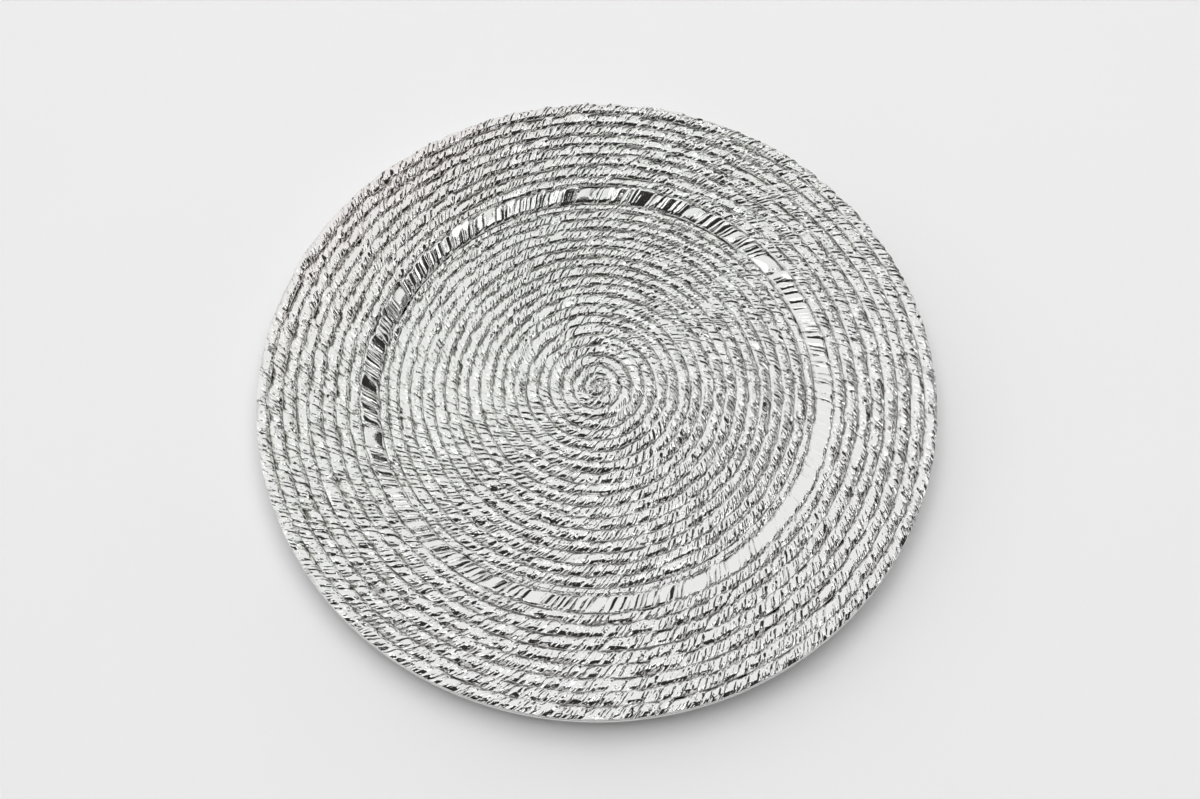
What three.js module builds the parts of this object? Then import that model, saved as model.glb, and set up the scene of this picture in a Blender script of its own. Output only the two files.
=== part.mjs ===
// A round offering plate laid with silvered cord. A pressed dish carries concentric cord rings
// bonded to its whole upper face, and stands on a felt pad framed by a foot hoop.
// Millimetres, +Z up. The origin is the centre of the felt face that the plate rests on.
import * as THREE from 'three';

// ---- Driving dimensions, mm -------------------------------------------------------------------
const PLATE_RADIUS = 165; // to the outside of the dish's rolled edge
const PLATE_HEIGHT = 18.5; // rest face to the crown of the outermost cord
const CLEARANCE = 0.3; // between pieces that lie against each other

const SHEET = 1.2; // thickness of the pressed dish
const WALL_RISE = 5.0; // how far the dish climbs from its floor to its rim
const RIM_FLARE = 0.35; // share of the rim's rise that comes from its outward curve
const EDGE_WIDTH = 2.4; // rolled edge under the last cord
const EDGE_DEPTH = 3.4; // its height, from the dish's face down
const EDGE_ROUND = 0.9; // radius of its outer corners

const WELL_RADIUS = 103.2; // flat bed of the well cords
const FOOT_CORD_WIDTH = 4.0; // cord at the foot of the wall
const WALL_BAND_WIDTH = 8.7; // broad strand-wrapped band up the wall
const SHOULDER_CORD_WIDTH = 5.4; // cord over the wall's shoulder

const BUTTON_RADIUS = 6.2; // cord tuft in the middle
const WELL_CORDS = 17;
const RIM_CORDS = 7;
const WELL_CORD_HEIGHT = 3.0;
const WALL_BAND_HEIGHT = 2.6;
const RIM_CORD_HEIGHT = 3.2;
const CROWN = 0.9; // a cord's crown above its shoulders
const FLANK_LEAN = 0.5; // how far a cord's flanks lean in

const FELT_RADIUS = 85;
const FELT_THICKNESS = 3;
const HOOP_GAP = 0.5; // felt edge to foot hoop
const HOOP_WIDTH = 4;
const HOOP_LIFT = 0.5; // foot hoop above the surface the felt rests on

// ---- Facets round the plate -------------------------------------------------------------------
const FACETS = 40;
const SMALL_FACETS = 20;
const SMALL_RADIUS = 35; // rings inside this radius take the smaller count
const EDGE_ARC_STEPS = 3;

// ---- Heights and radii that follow ------------------------------------------------------------
const floorUnderside = FELT_THICKNESS + CLEARANCE;
const floorFace = floorUnderside + SHEET;
const rimFace = floorFace + WALL_RISE;
const wallEnd = WELL_RADIUS + FOOT_CORD_WIDTH + WALL_BAND_WIDTH + SHOULDER_CORD_WIDTH;
const wellPitch = (WELL_RADIUS - BUTTON_RADIUS) / WELL_CORDS;
const rimPitch = (PLATE_RADIUS - wallEnd) / RIM_CORDS;

// Rise of the rim from its inner edge, as a share: straight, then curving upward.
function rimShape(radius) {
  const share = (radius - wallEnd) / (PLATE_RADIUS - wallEnd);
  return (1 - RIM_FLARE) * share + RIM_FLARE * share * share;
}

// The full rise is the one that brings the outermost cord's crown to the plate's height.
const crownRise = PLATE_HEIGHT - rimFace - CLEARANCE - RIM_CORD_HEIGHT;
const lastCrownShare = (rimShape(PLATE_RADIUS - rimPitch) + rimShape(PLATE_RADIUS)) / 2;
const rimRise = crownRise / lastCrownShare;

// Smooth step from the floor to the rim across the wall.
function wallShape(radius) {
  const share = (radius - WELL_RADIUS) / (wallEnd - WELL_RADIUS);
  return share * share * (3 - 2 * share);
}

function pressedFace(radius) {
  if (radius <= WELL_RADIUS) {
    return floorFace;
  }
  if (radius <= wallEnd) {
    return floorFace + WALL_RISE * wallShape(radius);
  }
  return rimFace + rimRise * rimShape(radius);
}

// ---- Rows of cord, from the middle outward ----------------------------------------------------
function evenRows(prefix, count, start, pitch, height) {
  return Array.from({ length: count }, (_, index) => ({
    name: `${prefix}_${String(index + 1).padStart(2, '0')}`,
    inner: start + index * pitch,
    outer: start + (index + 1) * pitch,
    height,
  }));
}

function wallRows() {
  const bandStart = WELL_RADIUS + FOOT_CORD_WIDTH;
  const bandEnd = bandStart + WALL_BAND_WIDTH;
  return [
    { name: 'wall_foot_cord', inner: WELL_RADIUS, outer: bandStart, height: WELL_CORD_HEIGHT },
    { name: 'wall_band', inner: bandStart, outer: bandEnd, height: WALL_BAND_HEIGHT },
    { name: 'wall_shoulder_cord', inner: bandEnd, outer: wallEnd, height: RIM_CORD_HEIGHT },
  ];
}

const wellRows = evenRows('well_cord', WELL_CORDS, BUTTON_RADIUS, wellPitch, WELL_CORD_HEIGHT);
const slopeRows = wallRows();
const rimRows = evenRows('rim_cord', RIM_CORDS, wallEnd, rimPitch, RIM_CORD_HEIGHT);

const middle = (row) => (row.inner + row.outer) / 2;

// The dish bends only at these radii, so that every row beds on straight stretches of it.
const bends = [
  WELL_RADIUS,
  ...slopeRows.flatMap((row) => [middle(row), row.outer]),
  ...rimRows.map((row) => row.outer),
];

// Height of the dish's upper face, straight between its bends.
function dishFace(radius) {
  const next = bends.findIndex((bend) => bend >= radius);
  if (next <= 0) {
    return floorFace;
  }
  const before = bends[next - 1];
  const share = (radius - before) / (bends[next] - before);
  return (1 - share) * pressedFace(before) + share * pressedFace(bends[next]);
}

// ---- Solids of revolution ---------------------------------------------------------------------
const point = (radius, height) => new THREE.Vector2(radius, height);

function facetsAt(radius) {
  return radius < SMALL_RADIUS ? SMALL_FACETS : FACETS;
}

// Turns an outline in (radius, height) about +Z.
function turned(outline, facets) {
  return new THREE.LatheGeometry(outline, facets).rotateX(Math.PI / 2);
}

// An outline that doesn't touch the axis is closed back to its first point.
function turnedRing(outline, facets) {
  return turned([...outline, outline[0].clone()], facets);
}

// ---- Sub-parts --------------------------------------------------------------------------------
// A row of cord: its bed follows the dish, its flanks lean in, and a crown runs along its middle.
function cordRing(row) {
  const inner = row.inner + CLEARANCE / 2;
  const outer = row.outer - CLEARANCE / 2;
  const bed = (radius) => dishFace(radius) + CLEARANCE;
  const crown = bed(middle(row)) + row.height;
  const shoulder = (radius) => bed(radius) + row.height - CROWN;
  const bedRadii = [inner, ...bends.filter((bend) => bend > inner && bend < outer), outer];
  const outline = [
    ...bedRadii.map((radius) => point(radius, bed(radius))),
    point(outer - FLANK_LEAN, shoulder(outer)),
    point(middle(row), crown),
    point(inner + FLANK_LEAN, shoulder(inner)),
  ];
  return turnedRing(outline, facetsAt(row.outer));
}

// The tuft that fills the middle of the innermost cord.
function centreButton() {
  const edge = BUTTON_RADIUS - CLEARANCE / 2;
  const bed = floorFace + CLEARANCE;
  const outline = [
    point(0, bed),
    point(edge, bed),
    point(edge - FLANK_LEAN, bed + WELL_CORD_HEIGHT - CROWN),
    point(0, bed + WELL_CORD_HEIGHT),
  ];
  return turned(outline, SMALL_FACETS);
}

// Points of a quarter round, from one angle to the other, about a centre.
function quarterRound(centre, from) {
  return Array.from({ length: EDGE_ARC_STEPS + 1 }, (_, step) => {
    const angle = from + (step / EDGE_ARC_STEPS) * (Math.PI / 2);
    return point(centre.x + EDGE_ROUND * Math.cos(angle), centre.y + EDGE_ROUND * Math.sin(angle));
  });
}

// Underside of the sheet: each bend moved square to the face by the sheet's thickness.
function undersidePoint(radius, index) {
  const before = bends[index - 1] ?? 0;
  const after = bends[index + 1];
  const run = point(after - before, dishFace(after) - dishFace(before)).normalize();
  return point(radius + run.y * SHEET, dishFace(radius) - run.x * SHEET);
}

// The pressed dish: floor, wall and rim of one sheet, rolled down into a bead at its edge.
function dish() {
  const edgeInner = PLATE_RADIUS - EDGE_WIDTH;
  const roundRadius = PLATE_RADIUS - EDGE_ROUND;
  const edgeTop = dishFace(roundRadius);
  const edgeBottom = edgeTop - EDGE_DEPTH;
  const outline = [
    point(0, floorUnderside),
    ...bends.slice(0, -1).map(undersidePoint),
    point(edgeInner, dishFace(edgeInner) - SHEET),
    point(edgeInner, edgeBottom),
    ...quarterRound(point(roundRadius, edgeBottom + EDGE_ROUND), -Math.PI / 2),
    ...quarterRound(point(roundRadius, edgeTop - EDGE_ROUND), 0),
    ...bends.slice(0, -1).toReversed().map((radius) => point(radius, dishFace(radius))),
    point(0, floorFace),
  ];
  return turned(outline, FACETS);
}

// Hoop under the floor, framing the felt and standing clear of the table.
function footHoop() {
  const inner = FELT_RADIUS + HOOP_GAP;
  const outer = inner + HOOP_WIDTH;
  const top = floorUnderside - CLEARANCE;
  const outline = [
    point(inner, HOOP_LIFT),
    point(outer, HOOP_LIFT),
    point(outer, top),
    point(inner, top),
  ];
  return turnedRing(outline, FACETS);
}

// Felt pad under the floor. Its underside is the face that the plate rests on.
function baseFelt() {
  const outline = [
    point(0, 0),
    point(FELT_RADIUS, 0),
    point(FELT_RADIUS, FELT_THICKNESS),
    point(0, FELT_THICKNESS),
  ];
  return turned(outline, FACETS);
}

// ---- Materials --------------------------------------------------------------------------------
const CORD_SILVER = { color: 0xdcdedd, roughness: 0.18, metalness: 1 };
const DISH_SILVER = { color: 0xc9cbcd, roughness: 0.24, metalness: 1 };
const GREY_FELT = { color: 0x3a3d42, roughness: 0.95, metalness: 0 };

// ---- Assembly ---------------------------------------------------------------------------------
const plate = new THREE.Group();

function add(name, geometry, finish) {
  const mesh = new THREE.Mesh(geometry, new THREE.MeshStandardMaterial(finish));
  mesh.name = name;
  plate.add(mesh);
}

add('base_felt', baseFelt(), GREY_FELT);
add('foot_hoop', footHoop(), DISH_SILVER);
add('dish', dish(), DISH_SILVER);
add('centre_button', centreButton(), CORD_SILVER);
for (const row of [...wellRows, ...slopeRows, ...rimRows]) {
  add(row.name, cordRing(row), CORD_SILVER);
}

export default plate;
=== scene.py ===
"""A silvered offering plate laid with twisted cord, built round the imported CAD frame.

Each cord ring of the frame is replaced by a relief of slanted strands and fibres, and the dish,
foot hoop and felt by finely turned pieces. Lengths are metres; MM turns millimetres into metres.
"""

import math
from dataclasses import dataclass, replace

import bpy
import numpy as np
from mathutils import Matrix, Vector


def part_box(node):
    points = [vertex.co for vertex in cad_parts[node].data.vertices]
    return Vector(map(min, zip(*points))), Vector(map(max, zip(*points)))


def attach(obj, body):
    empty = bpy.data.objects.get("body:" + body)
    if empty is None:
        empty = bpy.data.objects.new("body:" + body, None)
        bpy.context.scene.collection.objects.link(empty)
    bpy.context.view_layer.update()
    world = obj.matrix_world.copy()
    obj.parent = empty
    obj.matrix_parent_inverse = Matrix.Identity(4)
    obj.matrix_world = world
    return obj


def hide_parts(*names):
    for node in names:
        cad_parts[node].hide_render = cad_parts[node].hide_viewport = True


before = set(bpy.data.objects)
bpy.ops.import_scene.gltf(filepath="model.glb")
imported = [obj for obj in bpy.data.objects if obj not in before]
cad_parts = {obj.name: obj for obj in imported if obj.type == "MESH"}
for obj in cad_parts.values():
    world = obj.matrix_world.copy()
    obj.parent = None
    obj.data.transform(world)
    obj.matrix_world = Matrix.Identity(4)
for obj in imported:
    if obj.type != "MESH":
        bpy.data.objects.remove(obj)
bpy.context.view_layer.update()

MM = 0.001
SEED = 20
LINE_DRAWS, CORD_DRAWS, BUTTON_DRAWS, FELT_DRAWS = 1, 2, 3, 4  # streams of random draws
TURN = 2 * math.pi

# ---- Camera ----
CAMERA_ELEVATION = math.radians(65.0)
CAMERA_DISTANCE = 606 * MM
CAMERA_LENS = 37.0  # mm
CAMERA_SENSOR = 36  # mm
AIM = Vector((1.5 * MM, -7.9 * MM, 7.8 * MM))

# ---- Cord meshes ----
COLUMN_STEP = 0.31 * MM  # between points along a cord
ROWS_ACROSS = 27  # points over a cord's width
SIDE_GAP = 0.05 * MM  # between a cord's side and the ring line
CAD_GAP = 0.3 * MM  # between pieces in the frame


# ---- Mesh building ----
def mesh_object(name, points, quads, caps=()):
    """A smooth shaded object from points (n, 3), quads (m, 4) and many-sided caps."""
    corners = np.concatenate([quads.ravel(), *caps])
    cap_starts = quads.size + np.cumsum([0, *(len(cap) for cap in caps)])[:-1]
    starts = np.concatenate([np.arange(0, quads.size, 4), cap_starts])
    mesh = bpy.data.meshes.new(name)
    mesh.vertices.add(len(points))
    mesh.vertices.foreach_set("co", np.asarray(points, np.float32).ravel())
    mesh.loops.add(len(corners))
    mesh.loops.foreach_set("vertex_index", corners.astype(np.int32))
    mesh.polygons.add(len(starts))
    mesh.polygons.foreach_set("loop_start", starts.astype(np.int32))
    mesh.update(calc_edges=True)
    mesh.shade_smooth()
    piece = bpy.data.objects.new(name, mesh)
    bpy.context.scene.collection.objects.link(piece)
    return piece


def grid_quads(rows, columns, closed):
    """Quads of a grid that closes along its columns, and along its rows too where closed."""
    here = np.arange(rows * columns).reshape(rows, columns)
    up = np.roll(here, -1, axis=0)
    along = np.roll(here, -1, axis=1)
    both = np.roll(up, -1, axis=1)
    quads = np.stack([here, along, both, up], axis=-1)
    if not closed:
        quads = quads[:-1]
    return quads.reshape(-1, 4)


def ring_object(name, points):
    """A closed ring from points (rows round the section, columns round the plate, 3)."""
    rows, columns, _ = points.shape
    return mesh_object(name, points.reshape(-1, 3), grid_quads(rows, columns, closed=True))


def disc_object(name, points):
    """A closed body from points (rows from the middle below to the middle on top, columns, 3)."""
    rows, columns, _ = points.shape
    quads = grid_quads(rows, columns, closed=False)
    below = np.arange(columns)[::-1]
    top = np.arange(columns) + (rows - 1) * columns
    return mesh_object(name, points.reshape(-1, 3), quads, (below, top))


def set_crease(piece, depth):
    """Stores how deep each point lies in a crease, from 0 to 1, for the material's painted shade."""
    crease = piece.data.attributes.new("crease", "FLOAT", "POINT")
    crease.data.foreach_set("value", depth.astype(np.float32).ravel())


def to_space(radius, angle, height):
    radius, angle, height = np.broadcast_arrays(radius, angle, height)
    return np.stack([radius * np.cos(angle), radius * np.sin(angle), height], axis=-1)


def angles(radius, step):
    """Evenly spaced angles, about this step apart at this radius."""
    return np.linspace(0, TURN, int(TURN * radius / step), endpoint=False)


# ---- Random fields ----
LEAST_CELLS = 3  # of noise round a strip


def smooth(share):
    return share * share * (3 - 2 * share)


def noise_field(rng, length, along, across, cell_along, cell_across):
    """Smooth noise from -1 to 1 over a closed strip, with cells of their own length and width."""
    cells = max(LEAST_CELLS, round(length / cell_along))
    place = (along / length * cells) % cells
    column = np.floor(place).astype(int) % cells
    level = (across - across.min()) / cell_across
    row = np.floor(level).astype(int)
    values = rng.uniform(-1, 1, (cells, row.max() + 2))
    share = smooth(place - np.floor(place))
    rise = smooth(level - row)
    near = values[column, row] * (1 - rise) + values[column, row + 1] * rise
    column = (column + 1) % cells
    far = values[column, row] * (1 - rise) + values[column, row + 1] * rise
    return near * (1 - share) + far * share


# ---- Where the rows of cord lie, from the frame ----
def row_names():
    wells = sorted(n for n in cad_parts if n.startswith("well_cord"))
    rims = sorted(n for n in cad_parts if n.startswith("rim_cord"))
    return [*wells, "wall_foot_cord", "wall_band", "wall_shoulder_cord", *rims]


ROWS = row_names()


def outer_line(node):
    """Radius of the ring line outside a node."""
    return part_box(node)[1][0] + CAD_GAP / 2


# Ring lines, from the button's edge to the plate's edge, and the height of the bed at each.
LINES = [outer_line("centre_button"), *(outer_line(name) for name in ROWS)]
BEDS = [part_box(name)[0][2] for name in ROWS]
BEDS.append(2 * BEDS[-1] - BEDS[-2])  # the edge lies on the slope of the last row
LINE_WANDER = 0.22 * MM
LINE_CELL = 9 * MM  # length of its bends


def ring_line(index, angle):
    """Radius of a ring line at each angle: it wanders a little, alike for both its cords.

    The plate's edge is an even circle, just inside the frame's.
    """
    radius = LINES[index]
    if index == len(LINES) - 1:
        return np.full_like(angle, radius - LINE_WANDER)
    rng = np.random.default_rng([SEED, LINE_DRAWS, index])
    along, across = angle * radius, np.zeros_like(angle)
    wander = noise_field(rng, TURN * radius, along, across, LINE_CELL, LINE_CELL)
    return radius + LINE_WANDER * wander


# ---- Cord relief ----
@dataclass
class Lay:
    """How the strands of a cord are laid."""

    slant: float = math.radians(57)  # of the strands, from the ring's direction
    spacing: float = 3.6 * MM  # mean distance between strands, along the ring
    depth: float = 1.05 * MM  # from the crown down to the ring line
    crown: float = 0.25  # how far the crown lies inside the middle, of the half width
    plateau: float = 0.42  # share of each side where the flank begins
    notch: float = 0.3  # how much earlier it begins between strands
    groove: float = 0.48 * MM  # between strands, at the crown
    yarn_spacing: float = 1.5 * MM  # mean distance between the yarns of a strand
    yarn_groove: float = 0.14 * MM
    lean: float = 0.12  # random slope of a strand across the cord
    fibre: float = 0.12 * MM
    fibre_width: float = 0.9 * MM
    pit: float = 0.75 * MM  # depth of the gaps between fibres


WELL_LAY = Lay()
RIM_LAY = replace(WELL_LAY, spacing=4.2 * MM, depth=1.22 * MM, groove=0.54 * MM)
BAND_LAY = replace(
    WELL_LAY,
    slant=math.radians(66),
    spacing=3.9 * MM,
    depth=0.9 * MM,
    crown=0.0,
    plateau=0.72,
    notch=0.1,
    groove=0.75 * MM,
    lean=0.15,
    yarn_groove=0.1 * MM,
    fibre=0.05 * MM,
    pit=0.1 * MM,
)

STRAND_SHAPE = 1.6  # how alike the strands' widths are
STRAND_LEAST = 0.3  # width of the narrowest strand, of the mean spacing
STRAND_FEWEST = 4  # round a ring
STRAND_SKEW = 0.5  # where across a strand its crest lies
STRAND_POWER = 2.0  # how flat its crest is
STRAND_BULGE = (0.3, 1.2)  # least and greatest bulge of a strand, of the lay's groove
STRAND_LIFT = 0.07 * MM  # random height of a strand
SLANT_BEND = 0.4  # how much further round a strand runs at the cord's sides
YARN_BULGE = (0.2, 1.5)  # least and greatest bulge of a yarn, of the lay's yarn groove
YARN_DRIFT = 0.3  # how far a yarn wanders, of the yarn spacing
YARN_NOTCH = 0.5  # how much a yarn's valley counts in a notch, beside a strand's
FLANK_EASE = 0.1  # how soon a flank reaches its full slope
FLANK_CALM = 0.5  # of the fine relief is missing at the foot of a flank
FLANK_LATEST = 0.9  # share of each side where a flank begins at the latest
CREASE_CELL = 6 * MM  # length of the shallow and deep stretches of a crease
CREASE_CHANGE = 0.7  # how much a flank's depth changes along a crease
CREASE_SHIFT = 0.1  # of each side, by which a deep stretch widens
CREASE_FULL = 1.5 * MM  # below the crown, where the painted shade is darkest
FIBRE_LENGTH = 3.5 * MM
FINE_SHARE = 0.5  # size of the finest fibres, of the others'
SPECK_LENGTH = 1.8 * MM
PIT_LEAST = 0.35  # of the noise, where a gap between fibres opens
CORD_LEAST = 0.4 * MM  # least height of a cord over its bed
PROUD = 0.25 * MM  # the most a strand stands above the crown
SINK = 0.17 * MM  # how far a crown lies below the frame's


def lay_of(name):
    if name == "wall_band":
        return BAND_LAY
    return RIM_LAY if name.startswith(("rim", "wall_shoulder")) else WELL_LAY


def strand_shape(rng, spacing, length, along):
    """Share of a strand's height at each place along a ring, its number, and how many there are."""
    count = max(STRAND_FEWEST, round(length / spacing))
    widths = STRAND_LEAST + rng.gamma(STRAND_SHAPE, (1 - STRAND_LEAST) / STRAND_SHAPE, count)
    widths *= length / widths.sum()
    ends = np.cumsum(widths)
    place = along % length
    strand = np.minimum(np.searchsorted(ends, place, side="right"), count - 1)
    share = 1 - (ends[strand] - place) / widths[strand]
    side = 1 - np.minimum(share / STRAND_SKEW, (1 - share) / (1 - STRAND_SKEW))
    return 1 - side**STRAND_POWER, strand, count


def strand_relief(rng, lay, length, slanted, across):
    """Each strand's own height, and the share of a groove's depth beside its crest."""
    crest, strand, count = strand_shape(rng, lay.spacing, length, slanted)
    bulge = rng.uniform(*STRAND_BULGE, count)[strand]
    lean = rng.normal(0, lay.lean, count)[strand]
    lift = rng.normal(0, STRAND_LIFT, count)[strand]
    return lift + lean * across, bulge * (1 - crest)


def yarn_valleys(rng, lay, length, slanted, drift):
    """Share of a yarn groove's depth at each place."""
    drifted = slanted + YARN_DRIFT * lay.yarn_spacing * drift
    crest, yarn, count = strand_shape(rng, lay.yarn_spacing, length, drifted)
    return rng.uniform(*YARN_BULGE, count)[yarn] * (1 - crest)


def fibre_relief(rng, lay, length, slanted, across):
    """Fibres of two sizes, and the gaps between them."""

    def fibres(width, fibre_length):
        return noise_field(rng, length, slanted, across, width, fibre_length)

    coarse = fibres(lay.fibre_width, FIBRE_LENGTH)
    fine = fibres(lay.fibre_width * FINE_SHARE, FIBRE_LENGTH * FINE_SHARE)
    specks = fibres(lay.fibre_width, SPECK_LENGTH)
    return lay.fibre * (coarse + FINE_SHARE * fine) - lay.pit * np.clip(specks - PIT_LEAST, 0, None)


def flank_fall(lay, share, edge):
    """How far down a flank each place lies, from 0 at its edge to 1 at the ring line."""
    aside = share + lay.crown
    aside = np.maximum(aside / (1 + lay.crown), -aside / (1 - lay.crown))
    return np.clip((aside - edge) / (1 - edge), 0, 1)


def cord_relief(rng, lay, length, along, across, half):
    """Height over a cord, 0 at its crown, at places along it and across its half width."""
    share = across / half
    slanted = along + across * (1 + SLANT_BEND * share**2) / math.tan(lay.slant)
    strands, valley = strand_relief(rng, lay, length, slanted, across)
    drift = noise_field(rng, length, along, across, lay.spacing, half)
    yarn_valley = yarn_valleys(rng, lay, length, slanted, drift)
    texture = fibre_relief(rng, lay, length, slanted, across) - lay.yarn_groove * yarn_valley
    uneven = noise_field(rng, length, along, across, CREASE_CELL, half)
    notch = valley + YARN_NOTCH * yarn_valley - YARN_NOTCH / 2
    edge = np.clip(lay.plateau - lay.notch * notch - CREASE_SHIFT * uneven, 0, FLANK_LATEST)
    fall = flank_fall(lay, share, edge)
    flank = lay.depth * (1 + FLANK_EASE) * fall**2 / (fall + FLANK_EASE)
    flank *= 1 + CREASE_CHANGE * uneven
    texture *= 1 - FLANK_CALM * smooth(fall)
    height = strands + texture - lay.groove * valley - flank
    return np.minimum(height, PROUD * np.tanh(height / PROUD))


def crease_depth(relief):
    return np.clip(-relief / CREASE_FULL, 0, 1)


def cord_piece(index, name):
    """A cord ring: its relief on top, upright sides, and a flat bed."""
    rng = np.random.default_rng([SEED, CORD_DRAWS, index])
    middle = (LINES[index] + LINES[index + 1]) / 2
    half = (LINES[index + 1] - LINES[index]) / 2
    angle = angles(middle, COLUMN_STEP)
    inner = ring_line(index, angle) + SIDE_GAP
    outer = ring_line(index + 1, angle) - SIDE_GAP
    share = np.linspace(-1, 1, ROWS_ACROSS)[:, None]
    radius = inner + (outer - inner) * (share + 1) / 2
    bed = np.interp(radius, LINES, BEDS)
    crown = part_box(name)[1][2] - SINK - np.interp(middle, LINES, BEDS)
    relief = cord_relief(rng, lay_of(name), TURN * middle, angle * middle, share * half, half)
    top = to_space(radius, angle, bed + np.maximum(crown + relief, CORD_LEAST))
    ends = radius[[-1, 0]]
    under = to_space(ends, angle, np.interp(ends, LINES, BEDS))
    points = np.concatenate([top, under])
    piece = ring_object(name.replace("_cord", "") + "_strands", points[::-1])
    hidden = np.ones_like(ends)
    set_crease(piece, np.concatenate([crease_depth(relief), hidden])[::-1])
    return piece


# ---- Turned pieces ----
COLUMNS = 320  # round a turned piece
CORNER_STEPS = 6
MIDDLE = 0.05 * MM  # radius of the small cap that closes a disc
DISH_STEP = 1.5 * MM
BEND_EASE = 1.0 * MM  # on each side of a bend
BEND_SAMPLES = 5
BEAD_WIDTH = 2.4 * MM
BEAD_DEPTH = 3.4 * MM
BEAD_ROUND = 1.0 * MM
HOOP_GAP = 0.5 * MM  # felt edge to foot hoop
HOOP_ROUND = 0.8 * MM
FELT_ROUND = 0.9 * MM
FELT_STEP = 1.0 * MM
FELT_NAP = 0.22 * MM  # height of the felt's tufts
FELT_TUFT = 2.2 * MM
BUTTON_STEP = 0.3 * MM
BUTTON_ROWS = 22
BUTTON_TURNS = 1.4  # of the cord coiled in it
BUTTON_DROP = 0.7 * MM  # at its edge
BUTTON_POWER = 6  # how close to its edge it drops


def corner(radius, height, size, start):
    """Points of a quarter round about a centre, anticlockwise in the section."""
    turn = math.radians(start) + np.linspace(0, math.pi / 2, CORNER_STEPS)
    return [(radius + size * math.cos(a), height + size * math.sin(a)) for a in turn]


def rounded_section(inner, outer, low, high, size):
    """A rectangular section with round corners, from its lower inner corner."""
    return [
        *corner(inner + size, low + size, size, 180),
        *corner(outer - size, low + size, size, 270),
        *corner(outer - size, high - size, size, 0),
        *corner(inner + size, high - size, size, 90),
    ]


def turned(section):
    """Points of a section turned about the plate's axis."""
    radius, height = np.array(section).T[:, :, None]
    return to_space(radius, np.linspace(0, TURN, COLUMNS, endpoint=False), height)


def dish_face(radius):
    """Height of the dish's upper face, with its bends eased."""
    shifts = np.linspace(-BEND_EASE, BEND_EASE, BEND_SAMPLES)
    heights = [np.interp(radius + shift, LINES, BEDS) for shift in shifts]
    return np.mean(heights, axis=0) - CAD_GAP


def dish_piece():
    """The pressed dish: a sheet under all the cord, rolled down into a bead at its edge."""
    low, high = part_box("dish")
    sheet = BEDS[0] - CAD_GAP - low[2]
    bead_inner = high[0] - BEAD_WIDTH
    outward = np.arange(MIDDLE, bead_inner, DISH_STEP)
    inward = outward[::-1]
    bead_top = float(dish_face(high[0] - BEAD_ROUND))
    bead = rounded_section(bead_inner, high[0], bead_top - BEAD_DEPTH, bead_top, BEAD_ROUND)
    section = [
        *zip(outward, dish_face(outward) - sheet),
        *bead[: 3 * CORNER_STEPS],
        *zip(inward, dish_face(inward)),
    ]
    return disc_object("turned_dish", turned(section))


def hoop_piece():
    """The foot hoop, a flat ring with rounded edges."""
    low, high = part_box("foot_hoop")
    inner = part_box("base_felt")[1][0] + HOOP_GAP
    section = rounded_section(inner, high[0], low[2], high[2], HOOP_ROUND)
    return ring_object("rounded_hoop", turned(section))


def felt_piece():
    """The felt pad, with a tufted face and a soft edge."""
    low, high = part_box("base_felt")
    rng = np.random.default_rng([SEED, FELT_DRAWS])
    edge = high[0] - FELT_ROUND
    outward = np.arange(MIDDLE, edge, FELT_STEP)
    side = [
        *corner(edge, low[2] + FELT_ROUND, FELT_ROUND, 270),
        *corner(edge, high[2] - FELT_ROUND, FELT_ROUND, 0),
    ]
    section = [
        *((radius, low[2]) for radius in outward),
        *side,
        *((radius, high[2]) for radius in outward[::-1]),
    ]
    points = turned(section)
    x, y = points[..., 0] + high[0], points[..., 1]
    strip = 3 * high[0]  # longer than the pad, so that the noise doesn't repeat on it
    tufts, hairs = (noise_field(rng, strip, x, y, size, size) for size in (FELT_TUFT, FELT_TUFT / 2))
    inward = (tufts + hairs + 2) / 4 * FELT_NAP  # from 0 to the nap's height
    middle = (low[2] + high[2]) / 2
    points[..., 2] += np.sign(middle - points[..., 2]) * inward
    return disc_object("tufted_felt", points)


def button_piece():
    """The tuft in the middle: the end of the cord, coiled up tight."""
    rng = np.random.default_rng([SEED, BUTTON_DRAWS])
    low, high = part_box("centre_button")
    angle = angles(LINES[0], BUTTON_STEP)
    edge = ring_line(0, angle) - SIDE_GAP
    share = np.linspace(1, MIDDLE / LINES[0], BUTTON_ROWS)[:, None]
    half = LINES[0] / BUTTON_TURNS / 2
    turns = BUTTON_TURNS * share + angle / TURN
    across = (2 * (turns % 1) - 1) * half
    relief = cord_relief(rng, WELL_LAY, TURN * LINES[0], angle * LINES[0], across, half)
    relief = relief - BUTTON_DROP * share**BUTTON_POWER
    top = to_space(edge * share, angle, np.maximum(high[2] + relief, low[2] + CORD_LEAST))
    under = to_space(edge * share[::-1], angle, low[2])
    piece = disc_object("button_strands", np.concatenate([under, top]))
    set_crease(piece, np.concatenate([np.ones_like(relief), crease_depth(relief)]))
    return piece


# ---- Materials ----
SILVER_DIM = (0.865, 0.872, 0.848)
SILVER_CLEAR = (0.895, 0.902, 0.882)
SILVER_PINK = (0.905, 0.872, 0.858)
SILVER_PLAIN = (0.892, 0.89, 0.888)
# painted shade colour for the bottoms of the cord's creases
SILVER_CREASE_SHADE = (0.34, 0.32, 0.30)
SPUN_DIM = (0.70, 0.70, 0.69)
SPUN_CLEAR = (0.80, 0.80, 0.80)
FELT_DARK = (0.036, 0.038, 0.043)
FELT_LIGHT = (0.062, 0.064, 0.07)
FELT_HAIR = (0.16, 0.16, 0.17)
FLOOR_DIM = (0.93, 0.93, 0.935)
FLOOR_CLEAR = (0.945, 0.945, 0.945)
CREASE_SPAN = (0.6, 1.0)  # of a crease's depth, over which the painted shade deepens
CREASE_SHADE_MOST = 0.3  # share of the painted shade colour in the deepest creases
NOISE_SPAN = (0.3, 0.7)  # where most of a noise's values lie
HAIR_SPAN = (0.55, 0.75)  # of the noise, over which hairs show
HAIR_SHARE = 0.6
SMUDGES = (0.06, 0.17)  # roughness of the cords
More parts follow.
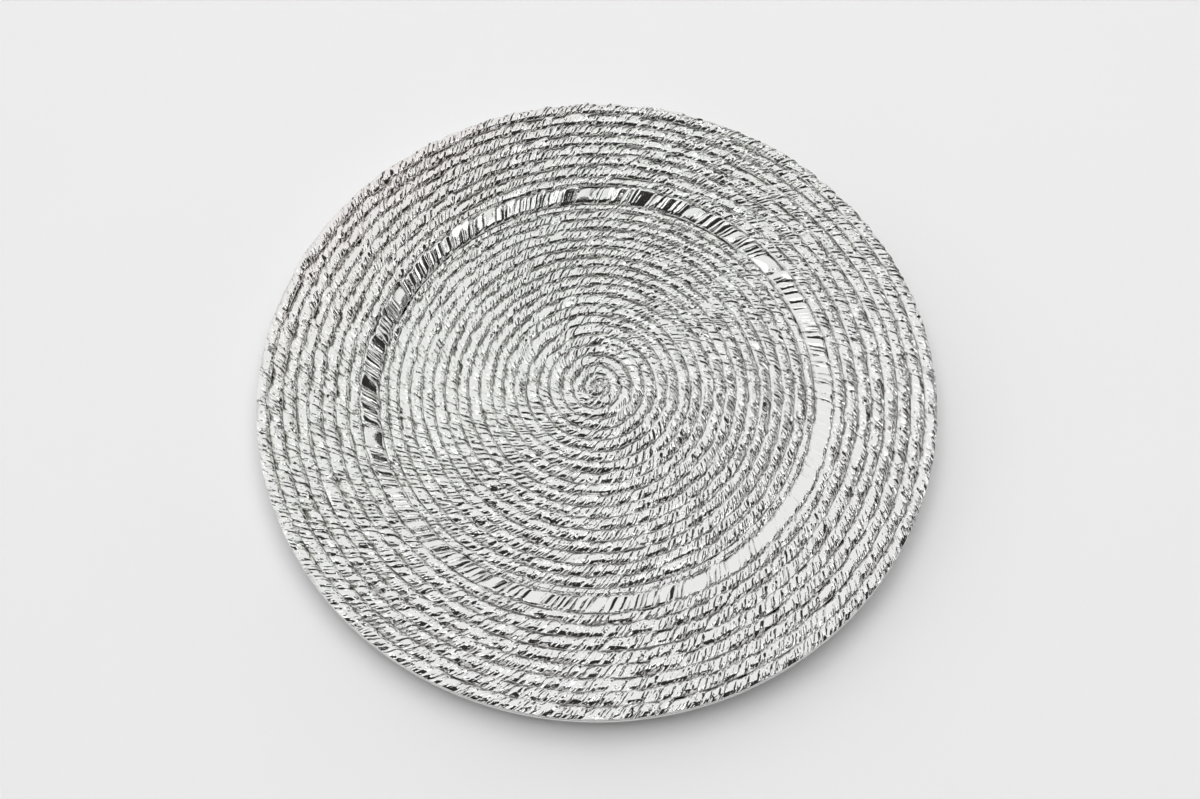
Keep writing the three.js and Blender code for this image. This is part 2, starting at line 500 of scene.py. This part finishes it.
CLOUDS = (0.16, 0.32)  # roughness of the spun silver
MIX_SHARE, MIX_FIRST, MIX_SECOND = 0, 6, 7  # colour sockets of a mix node
MIX_RESULT = 2


def node_material(name):
    material = bpy.data.materials.new(name)
    material.use_nodes = True
    tree = material.node_tree
    shader = tree.nodes["Principled BSDF"]
    return material, tree, shader


def noise_node(tree, scale, detail=2.0):
    """Noise over the object, scale in cells per metre."""
    place = tree.nodes.new("ShaderNodeTexCoord")
    noise = tree.nodes.new("ShaderNodeTexNoise")
    noise.inputs["Scale"].default_value = scale
    noise.inputs["Detail"].default_value = detail
    tree.links.new(place.outputs["Object"], noise.inputs["Vector"])
    return noise.outputs["Fac"]


def ranged(tree, value, span, to=(0, 1)):
    """A value's span stretched to another, with soft ends."""
    node = tree.nodes.new("ShaderNodeMapRange")
    node.interpolation_type = "SMOOTHSTEP"
    for socket, number in zip(("From Min", "From Max", "To Min", "To Max"), (*span, *to)):
        node.inputs[socket].default_value = number
    tree.links.new(value, node.inputs["Value"])
    return node.outputs["Result"]


def mixed(tree, share, first, second):
    """A colour between two, each a colour or a socket."""
    mix = tree.nodes.new("ShaderNodeMix")
    mix.data_type = "RGBA"
    tree.links.new(share, mix.inputs[MIX_SHARE])
    for socket, color in ((mix.inputs[MIX_FIRST], first), (mix.inputs[MIX_SECOND], second)):
        if isinstance(color, tuple):
            socket.default_value = (*color, 1)
        else:
            tree.links.new(color, socket)
    return mix.outputs[MIX_RESULT]


def bumped(tree, shader, height, depth):
    """Roughens a shader's surface by a height from 0 to 1, this deep."""
    bump = tree.nodes.new("ShaderNodeBump")
    bump.inputs["Distance"].default_value = depth
    tree.links.new(height, bump.inputs["Height"])
    tree.links.new(bump.outputs["Normal"], shader.inputs["Normal"])


def towards_side(tree, azimuth, start, full):
    """1 beyond the distance full from the axis on one side, fading to 0 at the distance start."""
    place = tree.nodes.new("ShaderNodeTexCoord")
    dot = tree.nodes.new("ShaderNodeVectorMath")
    dot.operation = "DOT_PRODUCT"
    turn = math.radians(azimuth)
    dot.inputs[1].default_value = (math.cos(turn), math.sin(turn), 0)
    tree.links.new(place.outputs["Object"], dot.inputs[0])
    return ranged(tree, dot.outputs["Value"], (start, full))


def cord_silver():
    """Bright silvered cord: faint casts of colour over the plate, smudges, and painted shade in its
    creases.
    """
    material, tree, shader = node_material("cord_silver")
    shader.inputs["Metallic"].default_value = 1.0
    color = mixed(tree, noise_node(tree, scale=28), SILVER_DIM, SILVER_CLEAR)
    pink_side = towards_side(tree, azimuth=135, start=90 * MM, full=170 * MM)
    color = mixed(tree, pink_side, color, SILVER_PINK)
    plain_side = towards_side(tree, azimuth=-50, start=-30 * MM, full=90 * MM)
    color = mixed(tree, plain_side, color, SILVER_PLAIN)
    # Painted shade: the silver darkens towards the bottom of each crease, where shade falls.
    crease = tree.nodes.new("ShaderNodeAttribute")
    crease.attribute_name = "crease"
    painted_shade = ranged(tree, crease.outputs["Fac"], CREASE_SPAN, (0, CREASE_SHADE_MOST))
    color = mixed(tree, painted_shade, color, SILVER_CREASE_SHADE)
    tree.links.new(color, shader.inputs["Base Color"])
    rough = ranged(tree, noise_node(tree, scale=220, detail=4.0), NOISE_SPAN, SMUDGES)
    tree.links.new(rough, shader.inputs["Roughness"])
    bumped(tree, shader, noise_node(tree, scale=1400, detail=3.0), depth=0.06 * MM)
    return material


def dish_silver():
    """Spun silver: fine rings about the axis, with cloudy roughness."""
    material, tree, shader = node_material("dish_silver")
    shader.inputs["Metallic"].default_value = 1.0
    color = mixed(tree, noise_node(tree, scale=40), SPUN_DIM, SPUN_CLEAR)
    tree.links.new(color, shader.inputs["Base Color"])
    rough = ranged(tree, noise_node(tree, scale=90, detail=5.0), NOISE_SPAN, CLOUDS)
    tree.links.new(rough, shader.inputs["Roughness"])
    place = tree.nodes.new("ShaderNodeTexCoord")
    rings = tree.nodes.new("ShaderNodeTexWave")
    rings.wave_type = "RINGS"
    rings.rings_direction = "Z"
    rings.inputs["Scale"].default_value = 260
    rings.inputs["Distortion"].default_value = 1.5
    rings.inputs["Detail"].default_value = 3.0
    tree.links.new(place.outputs["Object"], rings.inputs["Vector"])
    bumped(tree, shader, rings.outputs["Fac"], depth=0.02 * MM)
    return material


def grey_felt():
    """Pressed wool felt: mottled grey hairs with a soft sheen."""
    material, tree, shader = node_material("grey_felt")
    shader.inputs["Roughness"].default_value = 0.95
    shader.inputs["Sheen Weight"].default_value = 0.4
    patches = mixed(tree, noise_node(tree, scale=60, detail=4.0), FELT_DARK, FELT_LIGHT)
    hairs = ranged(tree, noise_node(tree, scale=1500, detail=5.0), HAIR_SPAN, (0, HAIR_SHARE))
    color = mixed(tree, hairs, patches, FELT_HAIR)
    tree.links.new(color, shader.inputs["Base Color"])
    bumped(tree, shader, noise_node(tree, scale=900, detail=6.0), depth=0.5 * MM)
    return material


def pale_floor():
    """Matt white board with a trace of grain."""
    material, tree, shader = node_material("pale_floor")
    shader.inputs["Roughness"].default_value = 0.8
    color = mixed(tree, noise_node(tree, scale=12, detail=3.0), FLOOR_DIM, FLOOR_CLEAR)
    tree.links.new(color, shader.inputs["Base Color"])
    bumped(tree, shader, noise_node(tree, scale=500, detail=3.0), depth=0.05 * MM)
    return material


# ---- Light ----
DARK = (0.03, 0.028, 0.026)
LAMP = (1.9, 1.9, 1.9)
WALLS = (0.92, 0.92, 0.92)
CLOTH_DIM = (0.80, 0.80, 0.795)
CLOTH_BRIGHT = (1.03, 1.03, 1.03)
CLOTH_SCALE = 6.0
CLOTH_DETAIL = 3.0
CLOTH_SPAN = (0.35, 0.65)  # of the noise, between dim and bright cloth
LAMP_SIZE = 2.5
LAMP_POWER = 24
LAMP_PLACE = (0, 0.4, 2.2)


@dataclass
class Zone:
    """Part of the studio round a direction, in degrees, fading in from angle start to full."""

    azimuth: float
    elevation: float
    start: float
    full: float


FAR_WALL = Zone(azimuth=90, elevation=15, start=62, full=45)
NEAR_SIDE = Zone(azimuth=-55, elevation=10, start=70, full=62)
LOWER_ROOM = Zone(azimuth=0, elevation=-90, start=139, full=133)  # under half way up
RIGHT_SHADE = Zone(azimuth=32, elevation=41, start=27, full=21)
CAMERA_SHADE = Zone(azimuth=-111, elevation=49, start=43, full=36)
LOW_WALLS = Zone(azimuth=0, elevation=-90, start=103, full=97)  # from over the horizon down
LAMPS = (
    Zone(azimuth=-25, elevation=69, start=12, full=8),
    Zone(azimuth=-176, elevation=63, start=12, full=8),
)


def towards(tree, zone):
    """1 in the full part of a zone of the world, fading to 0 outside it."""
    az, el = math.radians(zone.azimuth), math.radians(zone.elevation)
    place = tree.nodes.new("ShaderNodeTexCoord")
    dot = tree.nodes.new("ShaderNodeVectorMath")
    dot.operation = "DOT_PRODUCT"
    dot.inputs[1].default_value = (
        math.cos(el) * math.cos(az),
        math.cos(el) * math.sin(az),
        math.sin(el),
    )
    tree.links.new(place.outputs["Generated"], dot.inputs[0])
    span = math.cos(math.radians(zone.start)), math.cos(math.radians(zone.full))
    return ranged(tree, dot.outputs["Value"], span)


def product(tree, first, second):
    times = tree.nodes.new("ShaderNodeMath")
    times.operation = "MULTIPLY"
    tree.links.new(first, times.inputs[0])
    tree.links.new(second, times.inputs[1])
    return times.outputs["Value"]


def cloth_color(tree):
    """Softly uneven white cloth."""
    place = tree.nodes.new("ShaderNodeTexCoord")
    cloth = tree.nodes.new("ShaderNodeTexNoise")
    cloth.inputs["Scale"].default_value = CLOTH_SCALE
    cloth.inputs["Detail"].default_value = CLOTH_DETAIL
    tree.links.new(place.outputs["Generated"], cloth.inputs["Vector"])
    return mixed(tree, ranged(tree, cloth.outputs["Fac"], CLOTH_SPAN), CLOTH_DIM, CLOTH_BRIGHT)


def studio():
    """White cloth walls, a dark near side, shade on the right and at the camera, and two lamps."""
    world = bpy.data.worlds.new("studio")
    bpy.context.scene.world = world
    world.use_nodes = True
    tree = world.node_tree
    rays = tree.nodes.new("ShaderNodeLightPath")
    layers = [
        (towards(tree, FAR_WALL), WALLS),
        (product(tree, towards(tree, NEAR_SIDE), towards(tree, LOWER_ROOM)), DARK),
        (towards(tree, RIGHT_SHADE), DARK),
        (towards(tree, CAMERA_SHADE), DARK),
        (towards(tree, LOW_WALLS), WALLS),
        *((towards(tree, lamp), LAMP) for lamp in LAMPS),
        (rays.outputs["Is Camera Ray"], WALLS),
    ]
    color = cloth_color(tree)
    for share, paint in layers:
        color = mixed(tree, share, color, paint)
    tree.links.new(color, tree.nodes["Background"].inputs["Color"])


def floor_light():
    """Soft light from above that mirrors don't show."""
    data = bpy.data.lights.new("overhead", "AREA")
    data.shape = "DISK"
    data.size = LAMP_SIZE
    data.energy = LAMP_POWER
    lamp = bpy.data.objects.new("overhead", data)
    lamp.location = LAMP_PLACE
    lamp.visible_glossy = False
    bpy.context.scene.collection.objects.link(lamp)


FLOOR_REACH = 3.0  # from the plate's middle to each side


def floor_piece():
    reach = FLOOR_REACH
    points = [(-reach, -reach, 0), (reach, -reach, 0), (reach, reach, 0), (-reach, reach, 0)]
    floor = mesh_object("floor", np.array(points), np.array([[0, 1, 2, 3]]))
    floor.data.materials.append(pale_floor())


def camera():
    data = bpy.data.cameras.new("camera")
    data.lens = CAMERA_LENS
    data.sensor_width = CAMERA_SENSOR
    eye = bpy.data.objects.new("camera", data)
    bpy.context.scene.collection.objects.link(eye)
    back = Vector((0, -math.cos(CAMERA_ELEVATION), math.sin(CAMERA_ELEVATION)))
    eye.location = AIM + back * CAMERA_DISTANCE
    eye.rotation_euler = back.to_track_quat("Z", "Y").to_euler()
    bpy.context.scene.camera = eye


# ---- Build ----
def place(piece, node, slot, material):
    """Puts a piece in its CAD node's place."""
    piece.data.materials.append(material)
    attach(piece, "root")
    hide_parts(node)


camera()
studio()
floor_light()
floor_piece()
bpy.context.scene.view_settings.view_transform = "Standard"

cord_finish = cord_silver()
dish_finish = dish_silver()
place(button_piece(), "centre_button", "silvered_cord", cord_finish)
for index, name in enumerate(ROWS):
    place(cord_piece(index, name), name, "silvered_cord", cord_finish)
place(dish_piece(), "dish", "silvered_dish", dish_finish)
place(hoop_piece(), "foot_hoop", "silvered_dish", dish_finish)
felt = felt_piece()
place(felt, "base_felt", "grey_felt", grey_felt())
